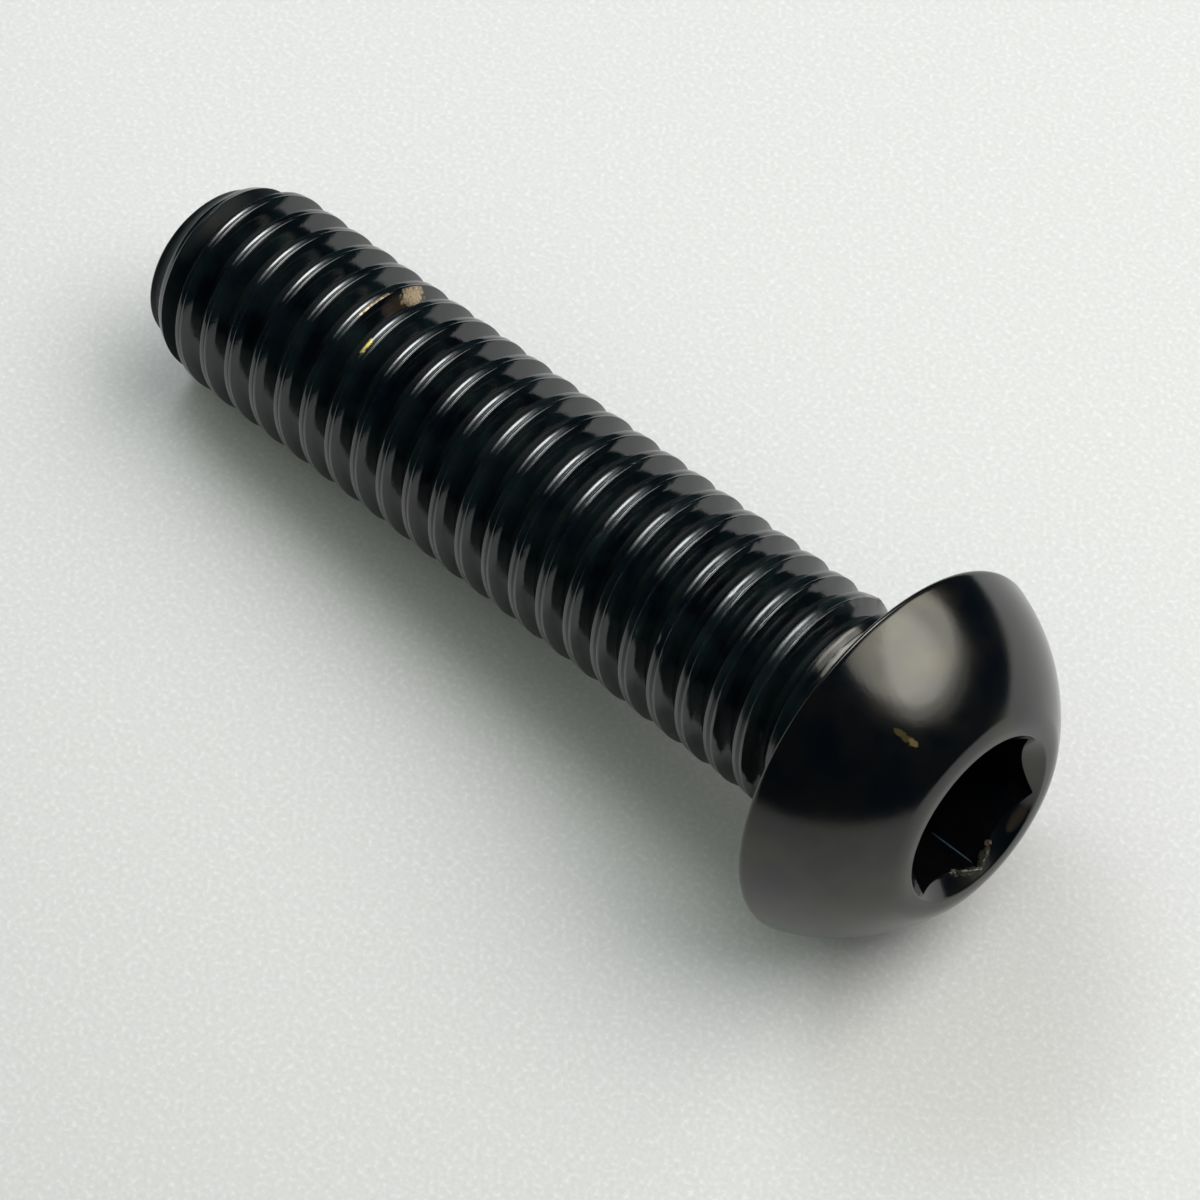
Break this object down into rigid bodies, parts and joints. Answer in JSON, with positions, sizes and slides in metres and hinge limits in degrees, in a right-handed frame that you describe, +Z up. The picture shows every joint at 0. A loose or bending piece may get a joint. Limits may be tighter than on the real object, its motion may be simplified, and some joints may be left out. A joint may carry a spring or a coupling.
{
  "type": "button head hexagon socket screw",
  "caption": "Black button-head screw with a hexagon socket and a right-hand thread along its shank, for clamping a handlebar stem.",
  "frame": {"origin": "on the floor, under the middle of the screw as it lies at rest on the rim of its head and the crests near its tip", "axes": "+X from the tip to the head along the floor, +Z up; the axis of the screw rises 5.5 degrees towards the head"},
  "size_m": [0.0286, 0.0104, 0.0104],
  "materials": {
    "black_oxide_steel": "gloss"
  },
  "bodies": {
    "root": {"bolt": "black_oxide_steel"}
  },
  "joints": []
}
